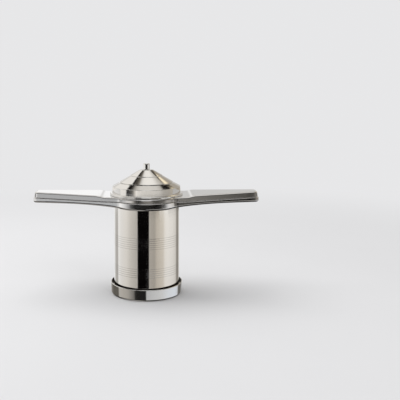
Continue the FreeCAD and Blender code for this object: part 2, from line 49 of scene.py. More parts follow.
class Value:
    """A shader socket that takes part in Python sums; each sum adds a Math node."""

    def __init__(self, tree, socket):
        self.tree = tree
        self.socket = socket

    def _math(self, operation, first, second=None, clamp=False):
        node = self.tree.nodes.new("ShaderNodeMath")
        node.operation = operation
        node.use_clamp = clamp
        for slot, value in zip(node.inputs, (first, second)):
            if isinstance(value, Value):
                self.tree.links.new(value.socket, slot)
            elif value is not None:
                slot.default_value = value
        return Value(self.tree, node.outputs[0])

    def __add__(self, other):
        return self._math("ADD", self, other)

    def __radd__(self, other):
        return self._math("ADD", other, self)

    def __sub__(self, other):
        return self._math("SUBTRACT", self, other)

    def __rsub__(self, other):
        return self._math("SUBTRACT", other, self)

    def __mul__(self, other):
        return self._math("MULTIPLY", self, other)

    def __rmul__(self, other):
        return self._math("MULTIPLY", other, self)

    def __truediv__(self, other):
        return self._math("DIVIDE", self, other)

    def __rtruediv__(self, other):
        return self._math("DIVIDE", other, self)

    def __neg__(self):
        return self._math("MULTIPLY", self, -1.0)

    def clamped(self):
        return self._math("ADD", self, 0.0, clamp=True)

    def arcsine(self):
        return self._math("ARCSINE", self)

    def square_root(self):
        return self._math("SQRT", self)

    def cosine(self):
        return self._math("COSINE", self)

    def angle_to(self, other):
        return self._math("ARCTAN2", self, other)


class Shader:
    """One node tree, with a single way to add a node: its type, its settings, and its sockets."""

    def __init__(self, tree):
        self.tree = tree
        tree.nodes.clear()

    def add(self, kind, settings=None, **sockets):
        node = self.tree.nodes.new("ShaderNode" + kind)
        for name, value in (settings or {}).items():
            if name == "stops":
                self._set_stops(node.color_ramp, value)
            else:
                setattr(node, name, value)
        for name, value in sockets.items():
            self.feed(node, name.replace("_", " "), value)
        return node

    def feed(self, node, name, value):
        matching = [s for s in node.inputs if s.name == name and s.enabled] if isinstance(name, str) else []
        slot = matching[0] if matching else node.inputs[name]
        if isinstance(value, Value):
            self.tree.links.new(value.socket, slot)
        elif isinstance(value, bpy.types.NodeSocket):
            self.tree.links.new(value, slot)
        else:
            slot.default_value = value

    def _set_stops(self, ramp, stops):
        while len(ramp.elements) < len(stops):
            ramp.elements.new(1.0)
        for element, (place, colour) in zip(ramp.elements, stops):
            element.position = place
            element.color = (*colour[:3], 1)

    def value(self, node, output=0):
        return Value(self.tree, node.outputs[output])

    def fade(self, value, start, end):
        """0 before start and 1 after end, with soft shoulders between."""
        node = self.add(
            "MapRange",
            {"interpolation_type": "SMOOTHSTEP"},
            Value=value,
            From_Min=start,
            From_Max=end,
            To_Min=0.0,
            To_Max=1.0,
        )
        return self.value(node)

    def ramp(self, place, stops):
        return self.add("ValToRGB", {"stops": stops}, Fac=place).outputs[0]

    def mix(self, factor, first, second, blend="MIX"):
        node = self.tree.nodes.new("ShaderNodeMix")
        node.data_type = "RGBA"
        node.blend_type = blend
        for slot, value in ((0, factor), (6, first), (7, second)):
            if isinstance(value, Value):
                self.tree.links.new(value.socket, node.inputs[slot])
            elif isinstance(value, bpy.types.NodeSocket):
                self.tree.links.new(value, node.inputs[slot])
            else:
                node.inputs[slot].default_value = value if slot == 0 else (*value[:3], 1)
        return node.outputs[2]


def round_the_room(stops):
    """Turns (degrees to the right of the camera, colour) into stops of a ramp from -180 to 180."""
    return [((angle + 180) / 360, colour) for angle, colour in stops]


def grey(level, warmth=0.0):
    """A neutral level, warmer (positive) or cooler (negative) by a small amount."""
    return (level * (1 + warmth), level, level * (1 - 1.4 * warmth))


# What the cap sees, low down towards the table
TABLE_VIEW = round_the_room([
    (-180, grey(0.40, 0.05)),
    (-150, grey(0.26, 0.06)),
    (-138, grey(0.14, 0.09)),
    (-106, grey(0.15, 0.09)),
    (-100, grey(0.62, 0.05)),
    (-84, grey(0.56, 0.06)),
    (-70, grey(0.52, 0.06)),
    (-62, grey(0.47, 0.06)),
    (-53, grey(0.36, 0.05)),
    (-46, grey(0.27, 0.05)),
    (-41, grey(0.21, 0.05)),
    (-39, grey(0.07, 0.04)),
    (-36, grey(0.035, 0.04)),
    (-30, grey(0.020, 0.04)),
    (-2.8, grey(0.020, 0.0)),
    (-2.0, grey(0.05, 0.0)),
    (-0.6, grey(0.66, -0.01)),
    (12, grey(0.72, -0.01)),
    (52, grey(0.86, -0.01)),
    (72, grey(0.98, -0.04)),
    (104, grey(1.02, -0.06)),
    (121, grey(0.88, -0.04)),
    (125, grey(0.20, 0.04)),
    (142, grey(0.16, 0.05)),
    (160, grey(0.50)),
    (180, grey(0.40)),
])
# What the handles' rounded bellies and the beads' undersides see, right below
UNDER_VIEW = round_the_room([
    (-180, grey(0.30, 0.04)),
    (-90, grey(0.42, 0.04)),
    (-60, grey(0.45, 0.03)),
    (-24, grey(0.42, 0.03)),
    (-14, grey(0.16, 0.04)),
    (16, grey(0.10, 0.05)),
    (22, grey(0.02, 0.04)),
    (60, grey(0.03, 0.04)),
    (100, grey(0.10, 0.04)),
    (180, grey(0.30, 0.04)),
])

# What the barrel sees, a little below eye level
BARREL_VIEW = round_the_room([
    (-180, grey(0.95)),
    (-150, grey(1.00)),
    (-139, grey(0.58, 0.03)),
    (-121, grey(0.55, 0.03)),
    (-117, grey(1.10, 0.01)),
    (-100, grey(0.97, 0.02)),
    (-75, grey(0.90, 0.04)),
    (-56, grey(0.70, 0.05)),
    (-40, grey(0.60, 0.05)),
    (-34, grey(0.56, 0.05)),
    (-32.6, grey(0.70, 0.03)),
    (-31.8, grey(0.70, 0.03)),
    (-31.0, FLAG_BLACK),
    (8.2, FLAG_BLACK),
    (9.6, grey(0.66, 0.06)),
    (12, grey(0.50, 0.07)),
    (28, grey(0.46, 0.08)),
    (36, grey(0.62, 0.09)),
    (60, grey(0.76, 0.08)),
    (68, grey(0.98, 0.04)),
    (80, grey(1.02, 0.03)),
    (104, grey(0.95, 0.03)),
    (124, grey(0.80, 0.04)),
    (132, grey(0.36, 0.06)),
    (146, grey(0.28, 0.08)),
    (158, grey(0.60, 0.05)),
    (180, grey(0.95)),
])

# What the knob sees
KNOB_VIEW = round_the_room([
    (-180, grey(0.95)),
    (-38, grey(1.00)),
    (-36, FLAG_BLACK),
    (44, FLAG_BLACK),
    (48, grey(1.30)),
    (78, grey(1.30)),
    (84, grey(0.02)),
    (165, grey(0.02)),
    (180, grey(0.95)),
])

# What the walls of the barrel's handle see: round the hub, and along the arms
LOWER_HUB_VIEW = round_the_room([
    (-180, grey(0.60)),
    (-97, grey(1.25)),
    (-82, grey(1.15)),
    (-67.6, grey(0.84)),
    (-60.8, grey(0.60)),
    (-54, grey(0.38)),
    (-48, grey(0.11)),
    (-41.6, grey(0.03, 0.03)),
    (-35, grey(0.012, 0.03)),
    (-28, grey(0.008, 0.03)),
    (0, grey(0.018, 0.03)),
    (24, grey(0.004, 0.03)),
    (30, grey(0.01, 0.03)),
    (42, grey(0.035, 0.02)),
    (54, grey(0.11, 0.02)),
    (60, grey(0.38)),
    (68, grey(0.82)),
    (76, grey(0.86, 0.02)),
    (90, grey(0.70, 0.02)),
    (120, grey(0.55, 0.02)),
    (180, grey(0.40)),
])
LOWER_ARM_VIEW = round_the_room([
    (-180, grey(0.70)),
    (-95, grey(0.95)),
    (-60, grey(0.80)),
    (-45, grey(0.62, -0.02)),
    (-24, grey(0.60, -0.02)),
    (-10, grey(0.20)),
    (10, grey(0.10, 0.05)),
    (23, grey(0.12, 0.05)),
    (26, grey(0.06, 0.05)),
    (29, grey(0.008, 0.05)),
    (33, grey(0.006, 0.05)),
    (38, grey(0.10, 0.05)),
    (60, grey(0.18, 0.06)),
    (95, grey(0.30, 0.08)),
    (180, grey(0.30, 0.05)),
])

# What the walls of the plunger's handle see: round the hub, and along the arms
UPPER_HUB_VIEW = round_the_room([
    (-180, grey(0.30)),
    (-92, grey(0.26)),
    (-77, grey(0.55)),
    (-62, grey(0.80, 0.02)),
    (-49, grey(0.72, 0.03)),
    (-42, grey(0.46, 0.04)),
    (-36, grey(0.18, 0.05)),
    (-30, grey(0.06, 0.05)),
    (-25, grey(0.03, 0.05)),
    (-18, grey(0.06, 0.05)),
    (-8, grey(0.17, 0.06)),
    (4, grey(0.23, 0.06)),
    (14, grey(0.20, 0.06)),
    (22, grey(0.11, 0.06)),
    (30, grey(0.08, 0.06)),
    (50, grey(0.13, 0.06)),
    (57, grey(0.22, 0.05)),
    (66, grey(0.44, 0.05)),
    (76, grey(0.40, 0.04)),
    (90, grey(0.18, 0.05)),
    (180, grey(0.30)),
])
UPPER_ARM_VIEW = round_the_room([
    (-180, grey(0.80)),
    (-95, grey(1.00)),
    (-58, grey(0.90)),
    (-44, grey(0.60, -0.01)),
    (-24, grey(0.53, -0.01)),
    (-10, grey(0.40)),
    (10, grey(0.25, 0.04)),
    (25, grey(0.22, 0.05)),
    (31, grey(0.08, 0.05)),
    (33, grey(0.08, 0.05)),
    (38, grey(0.18, 0.06)),
    (60, grey(0.20, 0.06)),
    (95, grey(0.24, 0.08)),
    (180, grey(0.40, 0.04)),
])

# What the dome's skirt sees, at eye level
SKIRT_VIEW = round_the_room([
    (-180, grey(0.70, 0.05)),
    (-158, grey(0.84, 0.04)),
    (-140, grey(0.96, 0.03)),
    (-84, grey(0.98, 0.03)),
    (-73.5, grey(0.94, 0.03)),
    (-69, grey(0.006, 0.08)),
    (-60, grey(0.010, 0.08)),
    (-52, grey(0.06, 0.08)),
    (-45, grey(0.24, 0.07)),
    (-38, grey(0.72, 0.06)),
    (-33.5, grey(1.03, 0.04)),
    (-28, grey(0.90, 0.04)),
    (-4, grey(0.86, 0.04)),
    (30, grey(0.80, 0.04)),
    (46, grey(0.70, 0.04)),
    (54, grey(0.56, 0.05)),
    (64, grey(0.50, 0.06)),
    (80, grey(0.46, 0.07)),
    (92, grey(0.50, 0.09)),
    (112, grey(0.44, 0.11)),
    (132, grey(0.36, 0.13)),
    (155, grey(0.44, 0.10)),
    (180, grey(0.70, 0.05)),
])

# Each view begins at this elevation to the sides, and this much higher towards the camera
VIEWS = (
    (BARREL_VIEW, -16.5, -2.5),
    (KNOB_VIEW, -9.9, 0.7),
    (LOWER_HUB_VIEW, -9.9, 2.7),
    (LOWER_ARM_VIEW, -8.6, 3.5),
    (SKIRT_VIEW, -9.2, 7.4),
    (UPPER_HUB_VIEW, -6.8, 8.1),
    (UPPER_ARM_VIEW, -4.0, 8.7),
)

# What the handles' tops and the dome's sides see, from just above eye level upwards, in degrees
LEFT_WALL = [
    (-10, grey(0.62, 0.02)),
    (6, grey(0.66, 0.02)),
    (8, grey(1.10)),
    (9.5, grey(1.10)),
    (12, grey(0.62, 0.03)),
    (18, grey(0.80, 0.03)),
    (24, grey(0.96, 0.03)),
    (46, grey(1.00, 0.03)),
]
RIGHT_WALL = [
    (-10, grey(0.40, 0.05)),
    (5, grey(0.58, 0.05)),
    (7.5, grey(0.66, 0.01)),
    (9.5, grey(0.66, 0.01)),
    (12, grey(0.50, 0.08)),
    (20, grey(0.42, 0.10)),
    (29, grey(0.42, 0.10)),
    (31.5, (0.50, 0.44, 0.36)),
    (33, grey(0.06, 0.20)),
    (35, grey(0.02, 0.20)),
    (42, grey(0.012, 0.10)),
    (47, grey(0.012, 0.10)),
]
# A warm lamp at the right end, which only the middle tier catches
RIGHT_LAMP = [
    (28, grey(0.42, 0.10)),
    (32, (0.55, 0.47, 0.35)),
    (35, (1.05, 0.91, 0.68)),
    (40.5, (1.30, 1.14, 0.86)),
    (43, (0.85, 0.74, 0.54)),
    (46, grey(0.36, 0.06)),
    (48, grey(0.42, 0.06)),
]

# What the front of the dome sees, overhead: by how far the place lies to the right, of one overhead
CEILING = [
    (-0.330, grey(1.00, 0.03)),
    (-0.308, grey(1.00, 0.03)),
    (-0.297, grey(0.010, 0.10)),
    (-0.268, grey(0.010, 0.10)),
    (-0.256, grey(0.16, 0.12)),
    (-0.246, grey(0.03, 0.12)),
    (-0.222, grey(0.10, 0.12)),
    (-0.196, grey(0.16, 0.10)),
    (-0.174, grey(0.30, 0.08)),
    (-0.146, grey(0.60, 0.05)),
    (-0.118, grey(0.84, 0.03)),
    (-0.075, grey(1.00, 0.03)),
    (0.000, grey(1.05, 0.03)),
    (0.130, grey(1.05, 0.03)),
    (0.190, grey(1.00, 0.03)),
    (0.240, grey(0.84, 0.04)),
    (0.285, grey(0.66, 0.05)),
    (0.312, grey(0.56, 0.07)),
    (0.330, grey(0.46, 0.08)),
]
# The dome's lower tier is less steep and sees a little less high
LOWER_CEILING = [
    (-0.312, grey(1.10, 0.03)),
    (-0.300, grey(1.00, 0.03)),
    (-0.290, grey(0.006, 0.10)),
    (-0.255, grey(0.008, 0.10)),
    (-0.232, grey(0.10, 0.08)),
    (-0.205, grey(0.40, 0.06)),
    (-0.170, grey(0.64, 0.05)),
    (-0.110, grey(0.77, 0.04)),
    (0.080, grey(0.78, 0.04)),
    (0.170, grey(0.72, 0.04)),
    (0.225, grey(0.58, 0.05)),
    (0.246, grey(0.46, 0.06)),
    (0.262, grey(0.14, 0.08)),
    (0.276, grey(0.010, 0.10)),
    (0.330, grey(0.010, 0.10)),
]

# Where one part of the room gives way to the next: elevations in degrees
UNDER_EDGE = (-48.0, -44.0)
TABLE_EDGE = (-28.0, -26.0)
VIEW_EDGE = 0.4
DIMMER = (-19.0, -7.0)
HIGH_EDGE = (-7.0, -6.0)
HIGH_FRONT_LIFT = 14.5
LAMP_FOOT = (27.0, 29.0)
CEILING_EDGE = (45.5, 47.0)
TIER_EDGE = (64.6, 65.6)
BESIDE_EDGE = (30.0, 38.0)
DARK_BAND_FOOT = (30.0, 33.0)
DARK_BAND_TOP = (47.0, 44.0)
# The same by how far a place lies to the right or behind, of one (FRONT_WIDTH is of that squared, and
# TIER_BEND is by how many degrees the tiers' edge comes down with it)
LAMP_START = (0.329, 0.336)
WALLS_MEET = (-0.02, 0.02)
TIER_BEND = 177.0
FRONT_WIDTH = (0.04, 0.09)
FRONT_EDGE = (-0.12, 0.0)
# The walls' ramps start at this elevation and span this many degrees
WALL_START = -10
WALL_SPAN = 100
WALL_OFFSET = -WALL_START / WALL_SPAN

world = bpy.data.worlds.new("studio")
world.use_nodes = True
bpy.context.scene.world = world
sky = Shader(world.node_tree)
coordinates = sky.add("TexCoord")
direction = sky.add("SeparateXYZ", Vector=coordinates.outputs["Generated"])
across, along, up = (sky.value(direction, i) for i in range(3))
turn = across.angle_to(-along) / (2 * math.pi) + 0.5
rise = up.arcsine() * (180 / math.pi)
frontness = ((turn - 0.5) * math.pi).cosine()
under = sky.mix(sky.fade(rise, *UNDER_EDGE), sky.ramp(turn, UNDER_VIEW), grey(0.015, 0.05))
room = sky.mix(sky.fade(rise, *TABLE_EDGE), under, sky.ramp(turn, TABLE_VIEW))
for view, side_edge, front_lift in VIEWS:
    begins = sky.fade(rise - frontness * front_lift, side_edge - VIEW_EDGE, side_edge + VIEW_EDGE)
    room = sky.mix(begins, room, sky.ramp(turn, view))
gradient = sky.fade(rise, *DIMMER)
room = sky.mix(1.0, room, sky.mix(gradient, grey(0.88), grey(1.0)), "MULTIPLY")
left_wall, right_wall, right_lamp = (
    sky.ramp(
        rise / WALL_SPAN + WALL_OFFSET,
        [((angle - WALL_START) / WALL_SPAN, colour) for angle, colour in stops],
    )
    for stops in (LEFT_WALL, RIGHT_WALL, RIGHT_LAMP)
)
lamp_end = sky.fade(across, *LAMP_START) * sky.fade(rise, *LAMP_FOOT)
right_wall = sky.mix(lamp_end, right_wall, right_lamp)
walls = sky.mix(sky.fade(across, *WALLS_MEET), left_wall, right_wall)
ceiling = sky.ramp(across + 0.5, [(place + 0.5, colour) for place, colour in CEILING])
lower_ceiling = sky.ramp(across + 0.5, [(place + 0.5, colour) for place, colour in LOWER_CEILING])
tier = sky.fade(rise + across * across * TIER_BEND, *TIER_EDGE)
ceiling = sky.mix(tier, lower_ceiling, ceiling)
high = sky.mix(sky.fade(rise, *CEILING_EDGE), walls, ceiling)
beside = sky.mix(sky.fade(rise, *BESIDE_EDGE), grey(0.04, 0.10), grey(0.95))
front = sky.mix(sky.fade(across * across, *FRONT_WIDTH), grey(0.95), beside)
dark_band = sky.fade(rise, *DARK_BAND_FOOT) * sky.fade(rise, *DARK_BAND_TOP)
front = sky.mix(dark_band, front, grey(0.02, 0.10))
high = sky.mix(sky.fade(along, *FRONT_EDGE), front, high)
room = sky.mix(sky.fade(rise - frontness * HIGH_FRONT_LIFT, *HIGH_EDGE), room, high)
rays = sky.add("LightPath")
seen = sky.value(rays, rays.outputs.find("Is Camera Ray"))
glossy = sky.value(rays, rays.outputs.find("Is Glossy Ray"))
fill = sky.mix(glossy, grey(0.62), room)
colour = sky.mix(seen, fill, BACKDROP_COLOUR)
backdrop = sky.add("Background", Color=colour, Strength=1.0)
sky.add("OutputWorld", Surface=backdrop.outputs[0])

table_mesh = bpy.data.meshes.new("table_top")
SPOKES = 96
REACHES = (0.0, 0.3, 0.6, 1.2, 2.4, 5.0, 12.0)
corners = [(0.0, 0.0, 0.0)]
for reach in REACHES[1:]:
    for k in range(SPOKES):
        bearing = 2 * math.pi * k / SPOKES
        corners.append((reach * math.cos(bearing), reach * math.sin(bearing), 0.0))
leaves = [(0, 1 + k, 1 + (k + 1) % SPOKES) for k in range(SPOKES)]
for ring in range(len(REACHES) - 2):
    low = 1 + ring * SPOKES
    for k in range(SPOKES):
        after = (k + 1) % SPOKES
        leaves.append((low + k, low + SPOKES + k, low + SPOKES + after, low + after))
table_mesh.from_pydata(corners, [], leaves)
table_top = bpy.data.objects.new("table_top", table_mesh)
bpy.context.scene.collection.objects.link(table_top)
table_top.location.z = -0.0002
table_top.visible_glossy = False

table_finish = bpy.data.materials.new("table_paper")
table_finish.use_nodes = True
paper = Shader(table_finish.node_tree)
where = paper.add("TexCoord")
place = paper.add("SeparateXYZ", Vector=where.outputs["Object"])
east, north = paper.value(place, 0), paper.value(place, 1)
distance = (east * east + north * north).square_root()
grain = paper.add("TexNoise", None, Vector=where.outputs["Object"], Scale=7.0, Detail=2.0)
tone = paper.mix(paper.value(grain), TABLE_COLOUR, tuple(c * 1.04 for c in TABLE_COLOUR))
sheet = paper.add("BsdfPrincipled", None, Base_Color=tone, Roughness=0.85)
glow = paper.add("Emission", Color=BACKDROP_COLOUR, Strength=1.0)
merge = paper.add("MixShader", Fac=paper.fade(distance, 0.2, 0.8))
paper.feed(merge, 1, sheet.outputs[0])
paper.feed(merge, 2, glow.outputs[0])
paper.add("OutputMaterial", Surface=merge.outputs[0])
table_mesh.materials.append(table_finish)

for name, place, aim, size, power in (
    ("overhead_softbox", (-0.35, 0.15, 0.95), (0, 0, 0.03), 0.9, 7.0),
    ("front_softbox", (0.7, -0.9, 0.7), (0, 0, 0.05), 0.8, 3.0),
):
    lamp = bpy.data.lights.new(name, "AREA")
    lamp.shape = "SQUARE"
    lamp.size = size
    lamp.energy = power
    softbox = bpy.data.objects.new(name, lamp)
    bpy.context.scene.collection.objects.link(softbox)
    softbox.location = place
    towards = Vector(aim) - Vector(place)
    softbox.rotation_euler = towards.to_track_quat("-Z", "Y").to_euler()
    softbox.visible_glossy = False

# ---------------------------------------------------------------- camera
# A short telephoto lens at arm's length, a hand's breadth above the handles and almost level. It looks a
# little to the right of the press, and the shift brings the press to its place in the frame.

CAMERA_DISTANCE = 0.625
CAMERA_HEIGHT = 0.192
CAMERA_TURN = 1.235
CAMERA_TILT = -3.68
CAMERA_SHIFT = (0.100, -0.150)
LENS_LENGTH = 56.95
SENSOR_WIDTH = 36.0

lens = bpy.data.cameras.new("camera")
lens.lens = LENS_LENGTH
lens.sensor_width = SENSOR_WIDTH
lens.shift_x, lens.shift_y = CAMERA_SHIFT
camera = bpy.data.objects.new("camera", lens)
bpy.context.scene.collection.objects.link(camera)
camera.location = (0.0, -CAMERA_DISTANCE, CAMERA_HEIGHT)
camera.rotation_euler = (math.radians(90 + CAMERA_TILT), 0, -math.radians(CAMERA_TURN))
bpy.context.scene.camera = camera
bpy.context.scene.view_settings.view_transform = "Standard"

# ---------------------------------------------------------------- cap ring
# A spun steel ring that screws over the foot of the barrel and holds the jali against it. Its wall
# flares a little to the rim, its foot is rolled in under the jali, and a coarse thread runs inside.

MM = 0.001
SMOOTH_UP_TO = 50
CAP_RADIUS = 35.45
CAP_FOOT_RADIUS = 34.95
CAP_HEIGHT = 11.05
CAP_BORE = 34.5
CAP_MOUTH = 27.5
CAP_LIP = 1.2
TURNED_SEGMENTS = 180
THREAD_PITCH = 2.5
SPUN_STEEL = (0.735, 0.725, 0.705)
# A dark tint: it darkens the cap's threaded bore, and paints shade into the barrel's grooves
DARK_TINT = (0.05, 0.045, 0.04)


def soft_outline(path, steps=5):
    """Points of a closed outline whose corners, (x, y, radius), are rounded where they name a radius."""
    points = []
    count = len(path)
    for i, corner in enumerate(path):
        if len(corner) < 3:
            points.append((corner[0], corner[1]))
            continue
        x, y, radius = corner
        arms = []
        for other in (path[i - 1], path[(i + 1) % count]):
            run, climb = other[0] - x, other[1] - y
            length = math.hypot(run, climb)
            arms.append((run / length, climb / length, length))
        (ax, ay, before), (bx, by, after) = arms
        half = math.acos(max(-1, min(1, ax * bx + ay * by))) / 2
        reach = min(radius / math.tan(half), 0.49 * before, 0.49 * after)
        radius = reach * math.tan(half)
        middle = math.hypot(ax + bx, ay + by)
        centre = (
            x + (ax + bx) / middle * radius / math.sin(half),
            y + (ay + by) / middle * radius / math.sin(half),
        )
        lead = min(0.06, 0.3 * (before - reach))
        points.append((x + ax * (reach + lead), y + ay * (reach + lead)))
        start = math.atan2(y + ay * reach - centre[1], x + ax * reach - centre[0])
        end = math.atan2(y + by * reach - centre[1], x + bx * reach - centre[0])
        sweep = (end - start + math.pi) % (2 * math.pi) - math.pi
        for k in range(steps + 1):
            angle = start + sweep * k / steps
            points.append((centre[0] + radius * math.cos(angle), centre[1] + radius * math.sin(angle)))
        lead = min(0.06, 0.3 * (after - reach))
        points.append((x + bx * (reach + lead), y + by * (reach + lead)))
    return points


def finish_piece(name, vertices, faces, material, body, replaced, slot):
    """A smooth-shaded piece in metres from points in millimetres, riding on its body."""
    mesh = bpy.data.meshes.new(name)
    mesh.from_pydata([tuple(c * MM for c in v) for v in vertices], [], faces)
    mesh.validate()
    mesh.shade_smooth()
    mesh.set_sharp_from_angle(angle=math.radians(SMOOTH_UP_TO))
    mesh.materials.append(material)
    piece = bpy.data.objects.new(name, mesh)
    bpy.context.scene.collection.objects.link(piece)
    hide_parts(*replaced)
    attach(piece, body)


def turned(outline, segments=TURNED_SEGMENTS):
    """Vertices and faces of an outline of (radius, height) points turned round the barrel's axis."""
    vertices, rows = [], []
    for radius, height in outline:
        if radius < 1e-6:
            rows.append([len(vertices)] * segments)
            vertices.append((0.0, 0.0, height))
            continue
        rows.append(list(range(len(vertices), len(vertices) + segments)))
        for k in range(segments):
            angle = 2 * math.pi * k / segments
            vertices.append((radius * math.cos(angle), radius * math.sin(angle), height))
    faces = []
    for low, high in zip(rows, rows[1:] + rows[:1]):
        for k in range(segments):
            after = (k + 1) % segments
            loop = [low[k], low[after], high[after], high[k]]
            face = [v for i, v in enumerate(loop) if v not in loop[:i]]
            if len(face) > 2:
                faces.append(face)
    return vertices, faces


def thread_ridge(root, tip, foot, top, start_angle=0.0):
    """A rounded ridge that winds up a wall from foot to top; it runs out to nothing at both ends."""
    turns = (top - foot) / THREAD_PITCH
    count = int(turns * 90)
    vertices, faces = [], []
    section = ((0.0, -0.62), (0.75, -0.25), (1.0, 0.0), (0.75, 0.25), (0.0, 0.62))
    for k in range(count + 1):
        share = k / count
        angle = start_angle + 2 * math.pi * turns * share
        swell = min(1.0, share * turns * 5, (1 - share) * turns * 5)
        for depth, rise in section:
            radius = root + (tip - root) * depth * swell
            height = foot + (top - foot) * share + rise * max(swell, 0.05)
            vertices.append((radius * math.cos(angle), radius * math.sin(angle), height))
    width = len(section)
    for k in range(count):
        for j in range(width - 1):
            a = k * width + j
            faces.append((a, a + 1, a + 1 + width, a + width))
    return vertices, faces


def join(*parts):
    """Several (vertices, faces) as one."""
    vertices, faces = [], []
    for more, loops in parts:
        base = len(vertices)
        vertices.extend(more)
        faces.extend([tuple(base + i for i in loop) for loop in loops])
    return vertices, faces


def steel(name, colour, roughness, turned_lines=0.0, grain=(0, 0, 0), soil=0.0, haze=0.06, darkened_where=None):
    """Worked stainless steel. Turned lines run round the axis; grain is the brushed scratches' fineness
    along x, y and z; soil darkens the surface in faint blotches, and haze dulls it in patches. The last
    argument takes the radius and the height in millimetres and gives where the surface is darkened and
    dulled, from 0 to 1; in the barrel's grooves that darkening is painted shade."""
    material = bpy.data.materials.new(name)
    material.use_nodes = True
    shade = Shader(material.node_tree)
    where = shade.add("TexCoord").outputs["Object"]
    axes = shade.add("SeparateXYZ", Vector=where)
    x, y, z = (shade.value(axes, i) for i in range(3))
    cloud = shade.value(shade.add("TexNoise", None, Vector=where, Scale=38.0, Detail=3.0, Roughness=0.55))
    height = cloud * 0.0
    marks = cloud * 0.0
    radius = (x * x + y * y).square_root()
    if turned_lines:
        lines = shade.add(
            "TexNoise",
            {"noise_dimensions": "1D"},
            W=radius * 2300.0 + z * 1700.0,
            Scale=1.0,
            Detail=2.0,
            Roughness=0.6,
        )
        marks = shade.value(lines)
        height = marks * turned_lines
    if any(grain):
        stretch = shade.add("VectorMath", {"operation": "MULTIPLY"})
        shade.feed(stretch, 0, where)
        shade.feed(stretch, 1, grain)
        scratches = shade.add(
            "TexNoise",
            None,
            Vector=stretch.outputs[0],
            Scale=1.0,
            Detail=3.0,
            Roughness=0.65,
        )
        marks = shade.value(scratches)
        height = marks * 0.07
    dull = shade.fade(cloud, 0.45, 0.75)
    finish = (roughness + dull * haze + (marks - 0.5) * 0.06).clamped()
    worn = shade.mix(dull * soil, colour, tuple(c * 0.72 for c in colour))
    tint = shade.mix(marks, worn, tuple(min(1.0, c * 1.05) for c in colour))
    tint = shade.mix(0.5, worn, tint)
    if darkened_where:
        darkening = darkened_where(shade, radius * 1000.0, z * 1000.0)
        tint = shade.mix(darkening, tint, DARK_TINT)
        finish = finish + darkening * 0.3
    bump = shade.add("Bump", None, Strength=0.35, Distance=0.00003, Height=height)
    surface = shade.add(
        "BsdfPrincipled",
        None,
        Base_Color=tint,
        Metallic=1.0,
        Roughness=finish,
        Normal=bump.outputs[0],
    )
    shade.add("OutputMaterial", Surface=surface.outputs[0])
    return material


spun_steel = steel("spun_steel", SPUN_STEEL, 0.06, turned_lines=0.25, soil=0.08, haze=0.03)


def inside_cap(shade, radius, height):
    """Darkens and dulls the threaded bore inside the ring, above its rolled foot."""
    return shade.fade(radius, 35.05, 34.75) * shade.fade(height, 1.3, 2.0)


cap_steel = steel("cap_steel", SPUN_STEEL, 0.07, turned_lines=0.5, soil=0.08, haze=0.03, darkened_where=inside_cap)
cap_outline = soft_outline([
    (CAP_MOUTH, 0.05, 0.3),
    (CAP_FOOT_RADIUS, 0.0, 1.5),
    (CAP_RADIUS, CAP_HEIGHT, 0.35),
    (CAP_BORE, CAP_HEIGHT, 0.3),
    (CAP_BORE, CAP_LIP, 0.4),
    (CAP_MOUTH, CAP_LIP, 0.3),
])
cap_thread = thread_ridge(CAP_BORE + 0.02, CAP_BORE - 0.3, 4.4, 9.8)
finish_piece(
    "cap_ring_spun",
    *join(turned(cap_outline), cap_thread),
    cap_steel,
    "cap",
    ["cap_ring"],
    "spun_steel",
)

# ---------------------------------------------------------------- jali
# The perforated disc that the dough leaves through: a flat stamping, drilled in rings and lightly
# faced on a lathe. It lies loose on the cap's rolled foot, and is swapped for finer or coarser ones.

PUNCHED_STEEL = (0.64, 0.63, 0.61)
CAD_SMOOTH_UP_TO = 35
punched_steel = steel("punched_steel", PUNCHED_STEEL, 0.24, turned_lines=1.6, soil=0.35)


def dress(node, material):
    """Gives a carried-over CAD node its finish."""
    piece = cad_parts[node]
    piece.data.materials.clear()
    piece.data.materials.append(material)
    piece.data.shade_smooth()
    piece.data.set_sharp_from_angle(angle=math.radians(CAD_SMOOTH_UP_TO))


dress("jali_plate", punched_steel)

# ---------------------------------------------------------------- barrel
# A straight drawn tube, polished on a lathe, with two bands of fine grooves turned round it and its
# rims eased. It stands on the jali, and the handle is pressed over its mouth.

BARREL_RADIUS = 32.4
BARREL_BORE = 31.2
BARREL_FOOT = 2.8
BARREL_TOP = 94.0
GROOVE_PITCH = 2.05
GROOVE_DEPTH = 0.012
GROOVE_HALF_WIDTH = 0.55
GROOVE_BANDS = ((22.0, 5), (49.3, 6))
TURNED_STEEL = (0.735, 0.722, 0.70)

turned_steel = steel("turned_steel", TURNED_STEEL, 0.07, turned_lines=0.5, soil=0.06, haze=0.03)


def painted_groove_shade(shade, radius, height):
    """Painted shade: darkens the bottom of each groove towards a dark tint."""
    darkening = height * 0.0
    for lowest, count in GROOVE_BANDS:
        for k in range(count):
            away = height - (lowest + k * GROOVE_PITCH)
            darkening = darkening + shade.fade(away * away, 0.10, 0.01)
    return darkening * shade.fade(radius, BARREL_RADIUS - 0.2, BARREL_RADIUS - 0.1) * 0.22


